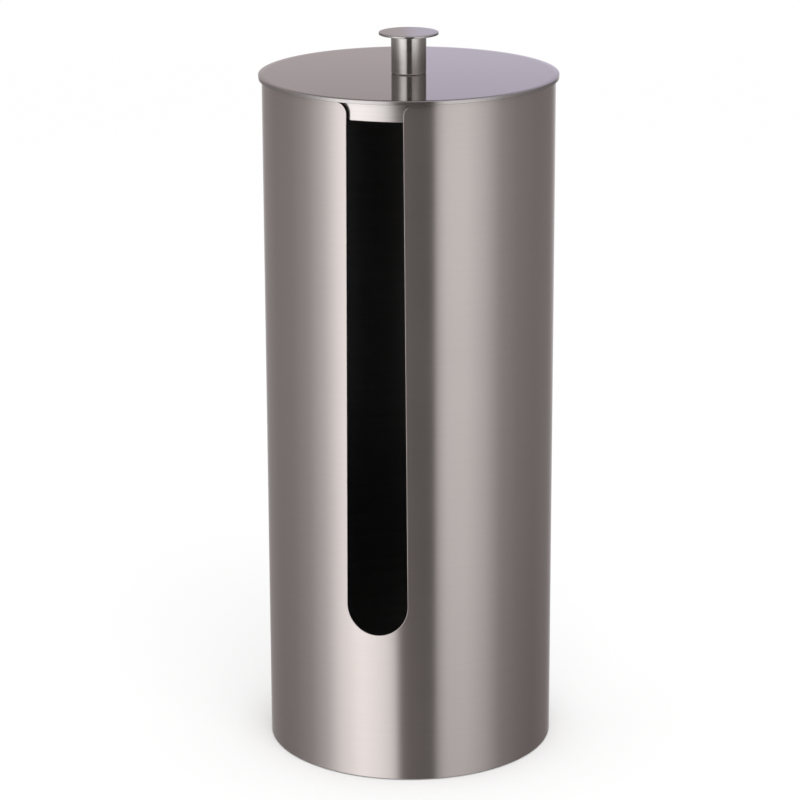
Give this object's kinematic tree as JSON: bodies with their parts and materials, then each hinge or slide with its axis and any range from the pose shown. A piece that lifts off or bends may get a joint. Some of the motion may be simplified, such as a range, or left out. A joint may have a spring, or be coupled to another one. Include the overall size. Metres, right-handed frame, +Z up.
{
  "type": "toilet roll storage holder",
  "caption": "Tall free-standing cylinder of brushed steel for a stack of spare toilet rolls, with a tall front slot open at the rim and a lift-off lid with a disc-topped knob.",
  "frame": {"origin": "on the surface that the canister stands on, on the canister's axis", "axes": "+Z up along the canister's axis, -Y out through the middle of the slot, +X to the right of someone who faces the slot"},
  "size_m": [0.1554, 0.1554, 0.3837],
  "materials": {
    "shell_steel": "stainless sheet brushed round the girth, satin, slightly warm",
    "pan_steel": "pressed stainless sheet, mill finish with faint drawing marks",
    "lid_steel": "fine straight brushing, nearly mirror smooth",
    "collar_steel": "bright strip, brushed round its girth",
    "knob_steel": "turned and finely brushed round its girth",
    "fastener_steel": "plain bright fastener steel",
    "pad_rubber": "matt black rubber"
  },
  "bodies": {
    "canister": {"body_shell": "shell_steel", "base_pan": "pan_steel", "foot_pads": "pad_rubber"},
    "lid": {"lid_plate": "lid_steel", "lid_collar": "collar_steel", "knob_stem": "knob_steel", "knob_cap": "knob_steel", "knob_screw": "fastener_steel", "plain_washer": "fastener_steel", "lock_washer": "fastener_steel"}
  },
  "joints": [
    {"name": "lid_lift", "type": "slide", "parent": "canister", "child": "lid", "axis": [0, 0, 1], "range_m": [0, 0.15]}
  ]
}
